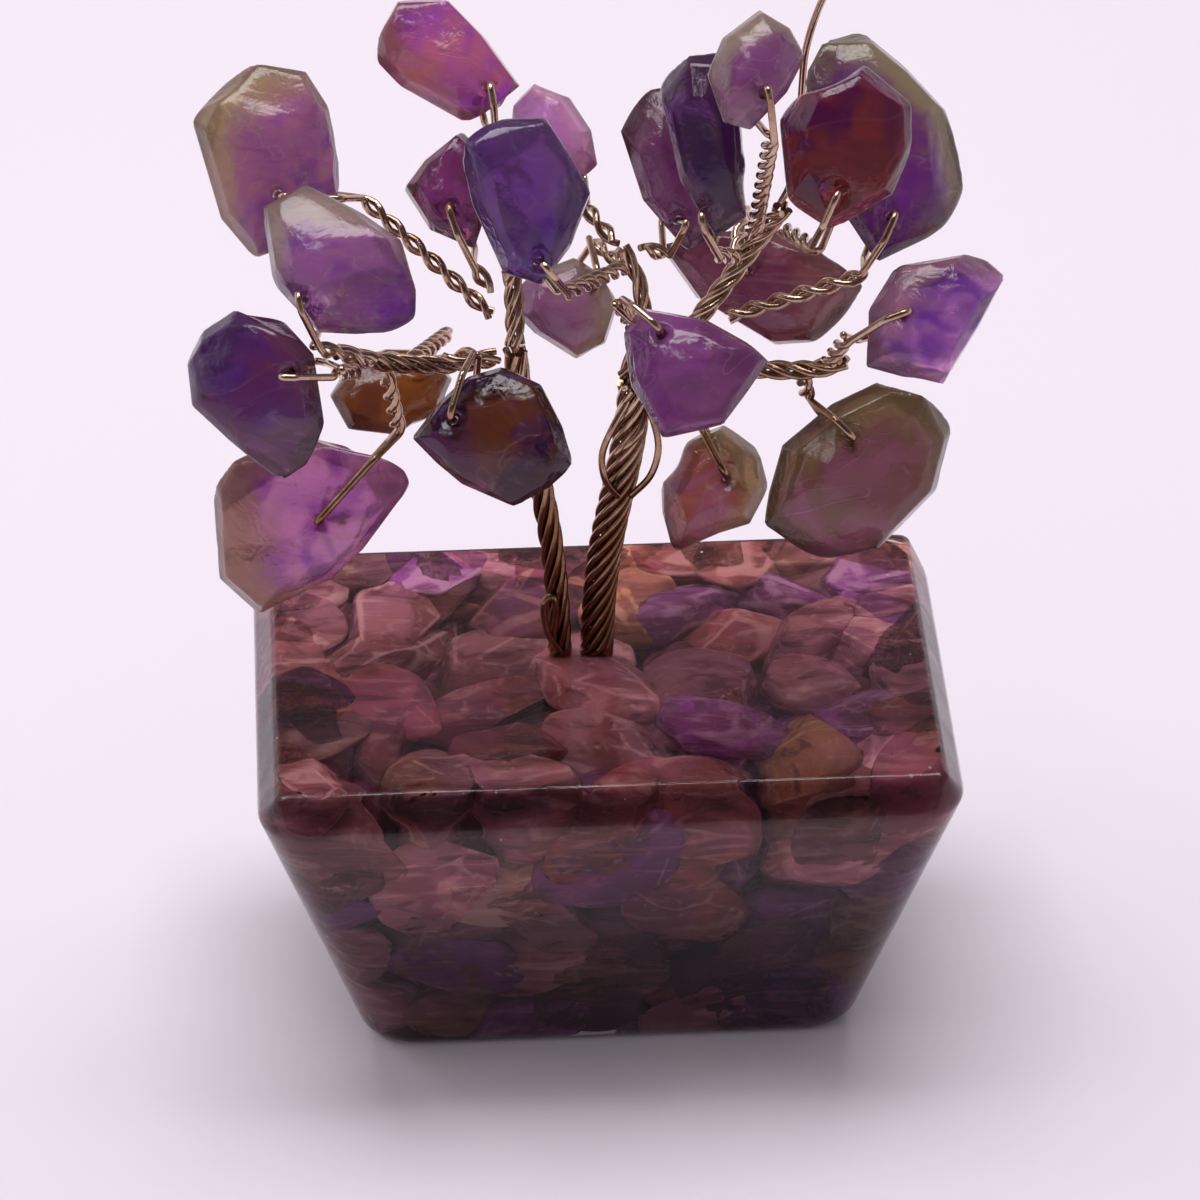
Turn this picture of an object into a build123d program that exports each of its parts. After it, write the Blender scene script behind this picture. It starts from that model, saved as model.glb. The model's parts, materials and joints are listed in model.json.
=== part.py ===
"""Gemstone tree ornament: a cast block full of stone chips carries two twisted wire trunks, and each
tree chip is drilled and hangs on its own wire loop, so that it swivels about its hole. Millimetres, +Z up,
the origin in the middle of the block's flat underside, the front towards -Y."""

import os
from math import atan, cos, pi, radians, sin, tan

from build123d import *

# Cast block: narrow at the foot, widest where the ground bevels begin
block_width = 44.0
block_depth = 31.0
block_height = 23.0
foot_inset = 6.3
bevel_reach = 1.3
bevel_drop = 2.3
corner_radius = 3.2
foot_radius = 1.2
cut_overrun = 5.0

# Stone chips set in the block, one to a cell of each layer
bed_margin = 1.3
bed_gap = 0.5
trunk_room = 3.4
bed_layers = ((4, 2), (5, 3), (6, 4))  # chips across and deep, from the foot up
bed_corners = (6, 7, 5)
bed_reach_shares = (1.0, 0.84, 0.95, 0.78, 0.9)
bed_spin = 47.0  # degrees from one chip to the next

# Crown: the box that the places of chips and branches are shares of
crown_width = 54.0
crown_depth = 24.0
crown_rise = 50.0

# Tree chips
chip_width = 9.0
chip_height = 9.0
chip_thickness = 5.0
tier_shares = ((-0.5, 0.52), (-0.3, 0.86), (0.0, 1.0), (0.3, 0.86), (0.5, 0.52))  # lift, draw
hole_clearance = 0.08

# Wire
wire_diameter = 0.45
strand_gap = 0.07
rope_gap = 0.25
root_depth = 7.0
socket_clearance = 0.25
loop_stand = 0.7
loop_bend = 0.6
loop_reach = 1.4
knee_back = 1.7
knee_share = 0.42
pair_lay = 3.4
branch_lay = 6.0
trunk_lay = 11.0
steps_per_turn = 8
lean_passes = 3
bend_share = 0.45
straight_angle = 1.0  # degrees; a smaller turn needs no bend

wire_radius = wire_diameter / 2
hole_radius = wire_radius + hole_clearance
strand_pitch = wire_diameter + strand_gap
step_loss = cos(pi / steps_per_turn)  # a stepped turn runs this much nearer its axis

# Wire ropes: strands in each ring from the middle out, and the axis in crown shares (x, y, z).
# A trunk begins in its socket; the foot of its axis is at the top of the block.
ropes = {
    "left_trunk": ((1, 6), ((-0.046, 0.096, 0.0), (-0.054, 0.075, 0.152), (-0.069, 0.058, 0.264),
                            (-0.087, 0.05, 0.38), (-0.094, 0.042, 0.45))),
    "right_trunk": ((3, 9), ((-0.002, 0.096, 0.0), (0.009, 0.075, 0.152), (0.031, 0.05, 0.284),
                              (0.043, 0.033, 0.4))),
    "left_upper_branch": ((4,), ((-0.094, 0.042, 0.458), (-0.094, 0.062, 0.51), (-0.096, 0.083, 0.552))),
    "left_branch": ((4,), ((-0.118, 0.03, 0.444), (-0.152, -0.021, 0.452), (-0.235, -0.104, 0.478),
                           (-0.293, -0.208, 0.524))),
    "centre_branch": ((3,), ((0.03, 0.034, 0.41), (0.054, 0.062, 0.49), (0.03, 0.083, 0.578))),
    "right_upper_branch": ((4,), ((0.058, 0.03, 0.412), (0.12, 0.042, 0.492), (0.18, 0.062, 0.582),
                                  (0.211, 0.0, 0.65))),
    "right_branch": ((4,), ((0.072, 0.022, 0.374), (0.131, 0.0, 0.424), (0.211, -0.042, 0.432),
                            (0.278, -0.104, 0.462))),
}
trunks = ("left_trunk", "right_trunk")

# Tree chips: place in crown shares; facing (turn to the right, rise) in degrees; width, height and
# thickness shares; hole in half sizes; way out of the wire in degrees; branch and share along it; outline
# in half sizes
chips = {
    "upper_left": ((-0.369, 0.208, 0.686), (8, 25), (0.98, 1.34, 0.92), (0.05, -0.35), -9,
                   ("left_upper_branch", 0.4),
                   ((-1, 0.45), (-0.68, 0.82), (-0.13, 1), (0.65, 0.85), (0.93, 0.46), (1, 0), (0.96, -0.47),
                    (0.34, -0.87), (-0.31, -1), (-0.73, -0.56))),
    "left_shoulder": ((-0.293, -0.167, 0.642), (-15, 40), (1.16, 1.0, 0.96), (-0.3, -0.6), -72,
                      ("left_branch", 0.86),
                      ((-1, 0.64), (-0.52, 1), (0.2, 0.68), (0.71, 0.36), (0.95, -0.27), (1, -0.7),
                       (0.66, -0.95), (-0.12, -1), (-0.73, -0.41))),
    "far_left": ((-0.391, -0.354, 0.512), (-22, 20), (1.02, 1.15, 1.0), (0.55, 0.38), 3,
                 ("left_branch", 1.0),
                 ((-1, 0.27), (-0.81, 0.64), (-0.39, 0.95), (0.19, 1), (0.75, 0.58), (1, -0.24), (0.8, -0.77),
                  (0.51, -1), (-0.22, -0.62), (-0.87, -0.24))),
    "low_left": ((-0.333, 0.021, 0.208), (-12, 18), (1.44, 1.3, 0.96), (0.12, 0.18), 51,
                 ("left_branch", 0.58),
                 ((-1, 0.45), (-0.85, 0.81), (-0.15, 1), (0.55, 1), (0.94, 0.85), (1, 0.63), (0.51, -0.19),
                  (0.22, -0.54), (-0.5, -1), (-0.9, -0.64))),
    "left_back": ((-0.235, 0.292, 0.326), (15, 45), (0.9, 0.62, 0.86), (0.45, 0.3), 41,
                  ("left_branch", 0.44),
                  ((-1, 0.23), (-0.74, 0.77), (0.04, 1), (0.81, 0.77), (1, 0), (0.66, -0.7), (-0.12, -1),
                   (-0.81, -0.7))),
    "left_heart": ((-0.124, -0.262, 0.416), (-12, 38), (1.15, 0.95, 0.98), (-0.45, 0.13), 80,
                   ("left_branch", 0.36),
                   ((-1, -0.17), (-0.69, 0.42), (-0.37, 0.83), (0.02, 1), (0.51, 0.78), (0.81, 0.2),
                    (1, -0.41), (0.74, -0.74), (0.3, -1), (-0.33, -0.74))),
    "top": ((-0.165, 0.07, 0.85), (6, 40), (0.98, 0.88, 0.92), (0.48, -0.55), -85,
            ("left_upper_branch", 1.0),
            ((-1, 0.68), (-0.77, 1), (0.1, 0.95), (0.56, 0.31), (1, -0.54), (0.84, -1), (0.12, -0.95),
             (-0.67, -0.34), (-0.96, 0.07))),
    "top_back": ((-0.04, 0.354, 0.666), (-20, 25), (0.66, 0.7, 0.84), (0.3, -0.45), -59,
                 ("centre_branch", 1.0),
                 ((-1, 0.51), (-0.55, 1), (0.18, 0.84), (0.77, 0.22), (1, -0.45), (0.55, -0.92), (-0.27, -1),
                  (-0.91, -0.35))),
    "front_top": ((-0.083, -0.292, 0.75), (10, 22), (0.87, 1.15, 1.0), (0.02, -0.68), -56,
                  ("centre_branch", 0.93),
                  ((-1, 0.88), (-0.51, 1), (0.4, 0.93), (0.94, 0.45), (1, 0), (0.6, -0.6), (0.1, -1),
                   (-0.48, -0.8), (-0.86, 0.04))),
    "inner_left": ((-0.165, 0.208, 0.638), (-18, 40), (0.6, 0.8, 0.82), (0.3, -0.4), -63,
                   ("left_upper_branch", 0.8),
                   ((-1, -0.14), (-0.6, 0.42), (0.12, 1), (0.8, 0.6), (1, -0.3), (0.85, -1), (-0.25, -0.77))),
    "inner": ((-0.037, 0.167, 0.47), (12, 25), (0.81, 0.7, 0.88), (0.45, 0.42), 76,
              ("centre_branch", 0.82),
              ((-1, 0.33), (-0.44, 0.8), (0.32, 1), (0.83, 0.73), (1, 0), (0.68, -0.78), (0.14, -1),
               (-0.53, -0.37))),
    "front_centre": ((0.098, -0.354, 0.516), (-14, 48), (1.03, 0.9, 0.96), (-0.42, 0.48), 144,
                     ("centre_branch", 0.4),
                     ((-1, 0.57), (-0.8, 1), (0.08, 0.91), (1, 0.43), (0.76, -0.13), (0.5, -0.67),
                      (-0.27, -1), (-0.78, -0.24))),
    "right_inner": ((0.096, 0.25, 0.645), (14, 25), (0.74, 1.18, 0.84), (-0.15, -0.6), -110,
                    ("centre_branch", 0.9),
                    ((-1, 0.67), (-0.77, 1), (0.02, 0.93), (0.72, 0.5), (1, -0.32), (0.86, -0.89), (0.02, -1),
                     (-0.7, -0.32))),
    "right_front": ((0.12, -0.005, 0.744), (-14, 22), (0.66, 1.26, 0.82), (0.2, -0.7), -75,
                    ("right_upper_branch", 0.68),
                    ((-1, 0.57), (-0.41, 1), (0.31, 1), (0.72, 0.57), (0.87, 0), (1, -0.75), (0.41, -1),
                     (-0.41, -0.44))),
    "right_top": ((0.17, -0.312, 0.922), (8, 42), (0.67, 0.8, 0.88), (-0.02, -0.5), -82,
                  ("right_upper_branch", 0.88),
                  ((-1, 0), (-0.59, 0.59), (0.22, 1), (0.78, 0.64), (1, 0.13), (0.53, -0.44), (-0.29, -1),
                   (-0.8, -0.83))),
    "right_mid": ((0.272, -0.2, 0.784), (-12, 25), (0.9, 1.12, 0.92), (0.02, -0.5), -111,
                  ("right_upper_branch", 1.0),
                  ((-1, 0.28), (-0.63, 0.85), (0.22, 1), (0.95, 0.58), (1, 0), (0.75, -0.52), (-0.12, -1),
                   (-0.8, -0.69))),
    "right_fan": ((0.33, 0.145, 0.698), (12, 40), (1.1, 1.62, 0.92), (-0.15, -0.66), -123,
                  ("right_upper_branch", 0.42),
                  ((-1, 0.73), (-0.68, 1), (0, 0.95), (0.44, 0.62), (0.86, 0.2), (0.96, -0.3), (1, -0.66),
                   (0.37, -0.85), (-0.36, -1), (-0.92, -0.21))),
    "right_back": ((0.192, 0.34, 0.45), (-12, 18), (1.5, 0.84, 0.88), (-0.05, 0.3), 100,
                   ("right_upper_branch", 0.6),
                   ((-1, 0.71), (-0.61, 0.96), (0.04, 1), (0.58, 0.71), (1, 0.13), (0.83, -0.86), (0.21, -1),
                    (-0.55, -0.3))),
    "far_right": ((0.378, -0.208, 0.54), (20, 42), (1.16, 0.88, 0.96), (-0.48, 0.14), -175,
                  ("right_branch", 1.0),
                  ((-1, -0.44), (-0.78, 0.41), (-0.29, 1), (0.72, 0.97), (1, 0.46), (0.49, -0.23),
                   (-0.16, -1), (-0.53, -0.76))),
    "low_right": ((0.296, -0.021, 0.278), (8, 24), (1.42, 1.27, 1.0), (-0.07, 0.41), 130,
                  ("right_branch", 0.74),
                  ((-1, -0.69), (-0.87, -0.14), (-0.7, 0.36), (-0.18, 0.75), (0.44, 1), (0.79, 0.91),
                   (1, 0.33), (0.79, -0.32), (0.16, -0.9), (-0.68, -1))),
    "low_inner": ((0.139, 0.208, 0.188), (-14, 42), (0.77, 0.95, 0.86), (0.28, 0.16), 124,
                  ("right_branch", 0.3),
                  ((-1, 0.07), (-0.6, 0.73), (0.05, 1), (0.69, 0.79), (1, 0.12), (0.74, -0.45), (0.21, -0.63),
                   (-0.6, -1), (-0.89, -0.42))),
}


def save(shape, name):
    """Labels a finished sub-part and writes it."""
    shape.label = name
    export_step(shape, f"parts/{name}.step")


def crown_point(shares):
    """Place in the crown from its three shares."""
    across, deep, up = shares
    return Vector(crown_width * across, crown_depth * deep, block_height + crown_rise * up)


def facing_plane(middle, turn, rise):
    """Plane whose normal leans up by rise and swings to the right of the front by turn."""
    turn, rise = radians(turn), radians(rise)
    normal = Vector(sin(turn) * cos(rise), -cos(turn) * cos(rise), sin(rise))
    return Plane(origin=middle, x_dir=Vector(cos(turn), sin(turn), 0), z_dir=normal)


def stone(plane, outline, thickness):
    """Flat-faced tumbled chip: its outline, drawn in tier by tier towards both faces."""
    rings = [
        [plane.from_local_coords(Vector(x * draw, y * draw, thickness * lift)) for x, y in outline]
        for lift, draw in tier_shares
    ]
    faces = [Face(Wire.make_polygon(ring)) for ring in (rings[0], rings[-1])]
    for low, high in zip(rings, rings[1:]):
        for i in range(len(outline)):
            faces.append(Face(Wire.make_polygon([low[i - 1], low[i], high[i], high[i - 1]])))
    return Solid(Shell(faces))


def bend_radii(points, largest):
    """Bend at each corner, up to the largest, that leaves a little straight wire between two bends."""
    radii = []
    for before, at, after in zip(points, points[1:], points[2:]):
        run = min((at - before).length, (after - at).length)
        turn = radians((at - before).get_angle(after - at))
        radii.append(min(largest, bend_share * run / tan(turn / 2)))
    return radii


def without_straights(points):
    """The points of a route, less those where it hardly turns."""
    kept = [points[0]]
    for at, after in zip(points[1:], points[2:]):
        if (at - kept[-1]).get_angle(after - at) > straight_angle:
            kept.append(at)
    return kept + [points[-1]]


def wire(points, largest_bend):
    """Round wire along a route of straight runs and tangent bends."""
    points = without_straights(points)
    with BuildPart() as strand:
        with BuildLine() as route:
            FilletPolyline(*points, radius=bend_radii(points, largest_bend))
        with BuildSketch(Plane(origin=route.line @ 0, z_dir=route.line % 0)):
            Circle(wire_radius)
        sweep()
    return strand.part


def ring_radius(count, inside, lay):
    """Radius of a ring of strands that clears its neighbours and the rope inside it. Strands that lean
    with the lay need more room round the ring, which settles in a few passes."""
    if count == 1:
        return 0.0
    radius = upright = max(strand_pitch / (2 * sin(pi / count)), inside + strand_pitch / 2)
    for _ in range(lean_passes):
        radius = max(upright, strand_pitch / cos(atan(2 * pi * radius / lay)) / (2 * sin(pi / count)))
    return radius / step_loss


def rope_lay(name):
    """Length of one turn of a rope's strands."""
    return trunk_lay if name in trunks else branch_lay


def ring_radii(name):
    """Radii of a rope's rings of strands, from the middle out."""
    radii, inside = [], 0.0
    for count in ropes[name][0]:
        radii.append(ring_radius(count, inside, rope_lay(name)))
        inside = radii[-1] + strand_pitch / 2
    return radii


def rope_radius(name):
    """Outer radius of a rope."""
    return ring_radii(name)[-1] + wire_radius


def rope_axis(name):
    """Middle line of a rope; a trunk's runs down into its socket first."""
    points = [crown_point(shares) for shares in ropes[name][1]]
    if name in trunks:
        points.insert(0, points[0] - Vector(0, 0, root_depth))
    return Edge.make_spline(points)


def twisted(axis, radius, phase, lay, toward):
    """Points of one strand wound about an axis, starting on the side that toward points to."""
    count = max(2, round(steps_per_turn * axis.length / lay))
    points = []
    for i in range(count + 1):
        share = i / count
        along = axis.tangent_at(share)
        side = (toward - along * toward.dot(along)).normalized()
        angle = phase + 2 * pi * share * axis.length / lay
        points.append(axis.position_at(share) + (side * cos(angle) + along.cross(side) * sin(angle)) * radius)
    return points


def rope(name):
    """Strands of a rope, ring by ring."""
    axis, lay = rope_axis(name), rope_lay(name)
    strands = []
    for count, radius in zip(ropes[name][0], ring_radii(name)):
        for i in range(count):
            strands.append(wire(twisted(axis, radius, 2 * pi * i / count, lay, Vector(0, 1, 0)), crown_rise))
    return strands


def edge_distance(outline, start, heading):
    """How far it is from start to the outline along a heading, all in the chip's plane."""
    reach = 0.0
    for a, b in zip(outline, outline[1:] + outline[:1]):
        side = Vector(b[0] - a[0], b[1] - a[1])
        gap = Vector(a[0], a[1]) - start
        across = heading.X * side.Y - heading.Y * side.X
        if across:
            along = (gap.X * side.Y - gap.Y * side.X) / across
            share = (gap.X * heading.Y - gap.Y * heading.X) / across
            if 0 <= share <= 1:
                reach = max(reach, along)
    return reach


# Cast block with its stones
with BuildPart() as block:
    foot_width, foot_depth = block_width - 2 * foot_inset, block_depth - 2 * foot_inset
    bevel_foot = block_height - bevel_drop
    flare = 2 * foot_inset * block_height / bevel_foot
    with BuildSketch():
        RectangleRounded(foot_width, foot_depth, corner_radius)
    with BuildSketch(Plane.XY.offset(block_height)):
        RectangleRounded(foot_width + flare, foot_depth + flare, corner_radius)
    loft(ruled=True)
    fillet(block.faces().sort_by(Axis.Z)[0].edges(), foot_radius)
    for plane, half in ((Plane.XZ, block_width / 2), (Plane.YZ, block_depth / 2)):
        slope = bevel_reach / bevel_drop
        with BuildSketch(plane):
            for side in (-1, 1):
                with BuildLine():
                    Polyline(
                        (side * (half + slope * cut_overrun), bevel_foot - cut_overrun),
                        (side * (half - bevel_reach - slope * cut_overrun), block_height + cut_overrun),
                        (side * (half + cut_overrun), block_height + cut_overrun),
                        close=True,
                    )
                make_face()
        extrude(amount=block_width, both=True, mode=Mode.SUBTRACT)

bed_rise = (block_height - 2 * bed_margin) / len(bed_layers)
bed_stones = []
serial = 0
for layer, (columns, rows) in enumerate(bed_layers):
    floor = bed_margin + layer * bed_rise
    spread = 2 * foot_inset * floor / bevel_foot - 2 * bed_margin
    cell_width, cell_depth = (foot_width + spread) / columns, (foot_depth + spread) / rows
    stones = []
    for place in GridLocations(cell_width, cell_depth, columns, rows):
        serial += 1
        middle = place.position + Vector(0, 0, floor + bed_rise / 2)
        feet = [crown_point(ropes[name][1][0]) for name in trunks]
        trunk_gap = min((Vector(foot.X, foot.Y) - place.position).length for foot in feet)
        if layer == len(bed_layers) - 1 and trunk_gap < trunk_room:
            continue
        corners = bed_corners[serial % len(bed_corners)]
        outline = []
        for corner in range(corners):
            angle = 2 * pi * corner / corners + radians(bed_spin * serial)
            reach = bed_reach_shares[(corner + serial) % len(bed_reach_shares)] / 2
            across, deep = (cell_width - bed_gap) * reach, (cell_depth - bed_gap) * reach
            outline.append((across * cos(angle), deep * sin(angle)))
        stones.append(stone(Plane(middle), outline, bed_rise - bed_gap))
    bed_stones.append(stones)

with BuildPart(mode=Mode.PRIVATE) as sockets:
    for name in trunks:
        foot = crown_point(ropes[name][1][0])
        with Locations(foot - Vector(0, 0, root_depth + socket_clearance)):
            Cylinder(
                rope_radius(name) + socket_clearance,
                root_depth + socket_clearance + cut_overrun,
                align=(Align.CENTER, Align.CENTER, Align.MIN),
            )

with block:
    for stones in bed_stones:
        add(stones, mode=Mode.SUBTRACT)
    add(sockets.part, mode=Mode.SUBTRACT)

os.makedirs("parts", exist_ok=True)
save(block.part, "resin_block")
for stones, name in zip(bed_stones, ("foot", "middle", "upper")):
    save(Compound(children=stones), f"set_stones_{name}")

for name in ropes:
    save(Compound(children=rope(name)), name)

# Drilled chips and the wire loops that carry them
for name, (at, facing, sizes, hole, way_out, (branch, share), shape) in chips.items():
    plane = facing_plane(crown_point(at), *facing)
    half_width, half_height = chip_width * sizes[0] / 2, chip_height * sizes[1] / 2
    thickness = chip_thickness * sizes[2]
    outline = [(x * half_width, y * half_height) for x, y in shape]
    drilled = Vector(hole[0] * half_width, hole[1] * half_height)
    with BuildPart() as chip:
        add(stone(plane, outline, thickness))
        with Locations(plane * Pos(drilled)):
            Cylinder(hole_radius, thickness + 2 * cut_overrun, mode=Mode.SUBTRACT)
    save(chip.part, f"chip_{name}")

    heading = Vector(cos(radians(way_out)), sin(radians(way_out)))
    start = drilled + heading * (edge_distance(outline, drilled, heading) + loop_reach)
    knee = start - heading * knee_back
    mouth_lift, knee_lift = thickness / 2 + loop_stand, thickness * knee_share + loop_stand
    pair_radius = ring_radius(2, 0.0, pair_lay)
    begin = plane.from_local_coords(start)
    axis = rope_axis(branch)
    tied = axis.position_at(share)
    along = axis.tangent_at(share)
    aside = (begin - tied) - along * (begin - tied).dot(along)
    end = tied + aside.normalized() * (rope_radius(branch) + rope_gap + pair_radius + wire_radius)
    twig = Edge.make_line(begin, end)
    front, back = (twisted(twig, pair_radius, phase, pair_lay, plane.z_dir) for phase in (0, pi))
    bends = [
        plane.from_local_coords(Vector(spot.X, spot.Y, lift))
        for spot, lift in (
            (knee, knee_lift), (drilled, mouth_lift), (drilled, -mouth_lift), (knee, -knee_lift)
        )
    ]
    save(wire(front[::-1] + bends + back, loop_bend), f"wire_{name}")
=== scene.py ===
"""Looks of the gemstone tree ornament: the cast block with its bed of stones, the drilled amethyst chips, the
twisted wire, and a plain stage. Settings and meshes are in metres; surfaces are worked out in millimetres."""

import json
import math

import bpy
import numpy as np
from bpy.props import FloatProperty, FloatVectorProperty, IntProperty, PointerProperty
from mathutils import Matrix, Vector


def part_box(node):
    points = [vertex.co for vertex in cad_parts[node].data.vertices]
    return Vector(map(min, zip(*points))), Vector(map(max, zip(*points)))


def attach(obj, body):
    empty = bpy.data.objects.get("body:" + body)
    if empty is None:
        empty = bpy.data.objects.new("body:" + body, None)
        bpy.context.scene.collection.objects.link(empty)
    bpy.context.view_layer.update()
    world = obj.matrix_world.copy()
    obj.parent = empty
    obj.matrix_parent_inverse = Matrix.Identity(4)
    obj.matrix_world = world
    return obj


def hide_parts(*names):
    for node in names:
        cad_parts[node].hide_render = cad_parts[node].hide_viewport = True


bl_info = {
    "name": "Gemstone tree ornament",
    "version": (1, 0, 0),
    "blender": (4, 5, 0),
    "location": "View3D > Sidebar > Gem tree",
    "description": "Dresses the gemstone tree: clear block, bed of stones, amethyst chips, wire and stage",
    "category": "Object",
}

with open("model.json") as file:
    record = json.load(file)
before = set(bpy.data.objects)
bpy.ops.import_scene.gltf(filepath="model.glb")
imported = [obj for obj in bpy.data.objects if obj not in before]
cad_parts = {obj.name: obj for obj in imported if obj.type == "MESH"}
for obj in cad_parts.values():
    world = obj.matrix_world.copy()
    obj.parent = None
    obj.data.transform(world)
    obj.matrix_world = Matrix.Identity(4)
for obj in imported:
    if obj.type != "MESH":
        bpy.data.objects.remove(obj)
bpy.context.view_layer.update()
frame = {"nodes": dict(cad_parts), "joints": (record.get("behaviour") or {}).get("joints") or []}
MM = 0.001
SWIVELS = {joint["child"]: joint for joint in frame["joints"]}
BLOCK_LOW, BLOCK_HIGH = (np.array(corner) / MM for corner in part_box("resin_block"))

# Tree chips: heart colour, clouds, skin colour; share of skin; side where the skin is thickest, in degrees
# from the right-hand side; haze
CHIPS = {
    "chip_upper_left": ("7c4292", "aa6890", "b0946c", 0.95, 150, 0.45),
    "chip_left_shoulder": ("7e3c96", "9c6098", "a08a78", 0.9, 120, 0.45),
    "chip_far_left": ("50246f", "602a56", "6e4044", 0.5, -10, 0.35),
    "chip_low_left": ("9a4aa2", "cc82b6", "9a7050", 0.85, 190, 0.4),
    "chip_left_back": ("703c26", "94561e", "704830", 0.6, 90, 0.45),
    "chip_left_heart": ("40184a", "5e3018", "522a4c", 0.6, 250, 0.3),
    "chip_top": ("9a42b2", "b86086", "b8745c", 0.75, 190, 0.4),
    "chip_top_back": ("bc74bc", "d494c0", "d29aa8", 0.5, 0, 0.5),
    "chip_front_top": ("54287e", "6e3f88", "6e4c70", 0.5, 0, 0.4),
    "chip_inner_left": ("642858", "823a74", "74403a", 0.6, 180, 0.35),
    "chip_inner": ("a26a90", "905a86", "ae947c", 0.9, 0, 0.55),
    "chip_front_centre": ("7e3682", "925090", "885070", 0.5, 0, 0.6),
    "chip_right_inner": ("622a5c", "78406c", "785458", 0.5, 90, 0.4),
    "chip_right_front": ("4e2868", "643466", "745860", 0.6, 250, 0.35),
    "chip_right_top": ("9c6c88", "8c5086", "aa9480", 0.9, 90, 0.5),
    "chip_right_mid": ("6e2264", "a04448", "843e36", 0.6, -60, 0.35),
    "chip_right_fan": ("783c6e", "6c2a7e", "8c7c5c", 0.95, 50, 0.45),
    "chip_right_back": ("722e52", "844860", "8c5c50", 0.6, 0, 0.45),
    "chip_far_right": ("b070b2", "6c3096", "b8867c", 0.6, 130, 0.4),
    "chip_low_inner": ("a4543a", "a86078", "b89a70", 0.95, 40, 0.5),
    "chip_low_right": ("7c5048", "92586e", "86704a", 0.95, 100, 0.5),
}

# Bed stones: heart colour, clouds, skin colour; share of the bed
BED = {
    "violet": ("91429d", "6b3070", "c28fb1", 0.24),
    "deep": ("622c41", "451b27", "9c6a70", 0.16),
    "plum": ("a5515c", "7a3a43", "cb9291", 0.2),
    "mauve": ("cb8391", "a5606c", "f3b9be", 0.22),
    "smoke": ("a16a64", "764945", "d0a094", 0.1),
    "tan": ("c98566", "a16247", "eaaf8d", 0.05),
    "rust": ("d0743d", "a14d2d", "eaa474", 0.015),
    "cream": ("eabbab", "c49485", "ffd8c8", 0.015),
}

# Finish of stones: share seen through, share that lamps pass, refraction, painted shade at the edges, streaks,
# and murk
BED_FINISH = {"clear": 0.46, "lit": 0.6, "ior": 1.09, "edge_shade": 0.0, "streaks": 0.6, "murk": 0.36}
CHIP_FINISH = {"lit": 0.45, "ior": 1.48, "edge_shade": 0.35, "streaks": 0.25, "murk": 0.0}
BED_SKIN = 0.7

# Colours inside and on the stones and the resin. The dark edge colour is painted shade at the stones' rims,
# the bevel colour is painted shade on the resin's bevels, and the bubble colour is partly painted highlight.
BROWN_MURK, VIOLET_MURK = (0.27, 0.1, 0.072, 1), (0.27, 0.1, 0.21, 1)
DARK_STREAK, PAINTED_RIM_SHADE, PALE_THREAD = (0.07, 0.022, 0.03, 1), (0.06, 0.025, 0.04, 1), (0.72, 0.6, 0.66, 1)
RESIN_SMEAR, PAINTED_BEVEL_SHADE, BUBBLE_SKIN_AND_GLINT = (0.7, 0.46, 0.46, 1), (0.34, 0.2, 0.26, 1), (0.96, 0.92, 0.93, 1)
PAPER_GRAIN = (0.7, 0.64, 0.74, 1)

# CAD chip: shares of its half thickness, and the size of its outline there
TIER_HEIGHTS, TIER_SIZES = (0.0, 0.6, 1.0), (1.0, 0.86, 0.52)
# CAD chip's points, in mm: how near to a plane counts as on it, and how near to the hole's axis as its wall
ON_PLANE, ON_HOLE = 0.01, 0.4
# Points nearer to the chip's middle than this share of its half size are not its outline
OUTLINE_SHARE = 0.3
TURNS = np.linspace(-np.pi, np.pi, 360, endpoint=False)
# Worn outline of a chip: blur in radians, and its faint waves to the round and their size
OUTLINE_BLUR, WAVES, WAVE_SIZE, WAVE_TURN = 0.06, range(4, 15), 0.045, 6.28
# Power of the sine that spaces a chip's rings; where sideways wear begins and is full, in mm off the hole
RING_POWER, WEAR_BEGINS, WEAR_FULL = 0.9, 0.1, 1.0
# Shares of the way along the hole's wall
WALL_RINGS = (0.75, 0.5, 0.25)

# Wear of unit-sized stones: reach of flats; reach, width and depth of hollows; width of edges; flats' softness
FLAT_REACH, DENT_REACH, DENT_WIDTH, DENT_DEPTH = (0.7, 0.95), 0.85, (0.25, 0.5), (0.04, 0.1)
EDGE_WIDTH, CHIP_SOFTNESS, BED_SOFTNESS = 0.07, 0.06, 0.02

# Block's mesh: points on a corner and a side; steps of roundings, wall, bevel and caps
CORNER_POINTS, SIDE_POINTS = 13, 12
ROUND_STEPS, WALL_STEPS, BEVEL_STEPS, CAP_STEPS = 9, 24, 10, 14

# Random stones of the bed: shares of half a length along each axis, shares of a cell that they move, how far
# their long axes lean, and how light they are
STONE_SHARES = ((0.7, 1.1), (0.5, 0.8), (0.35, 0.55))
CELL_PLAY = 0.38
STONE_LEAN, STONE_SHADE = 0.55, (0.7, 1.3)
# Rows of stones along the top's edges: way in from the edge and down, in mm; share of the edge's length; and
# how many more stones than columns the back row has
ROW_INSET, ROW_DROP = 0.9, 1.3
BACK_ROW, SIDE_ROW, BACK_EXTRA = 0.92, 0.8, 3
# The bed's first and last layers stand off the block's foot and top by this, in mm
LAYER_MARGIN = 0.8
# Rings and points to a ring of a stone and of a bubble; radius of bubbles, in mm
STONE_GRID, BUBBLE_GRID, BUBBLE_RADIUS = (20, 32), (4, 8), (0.05, 0.14)

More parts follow.
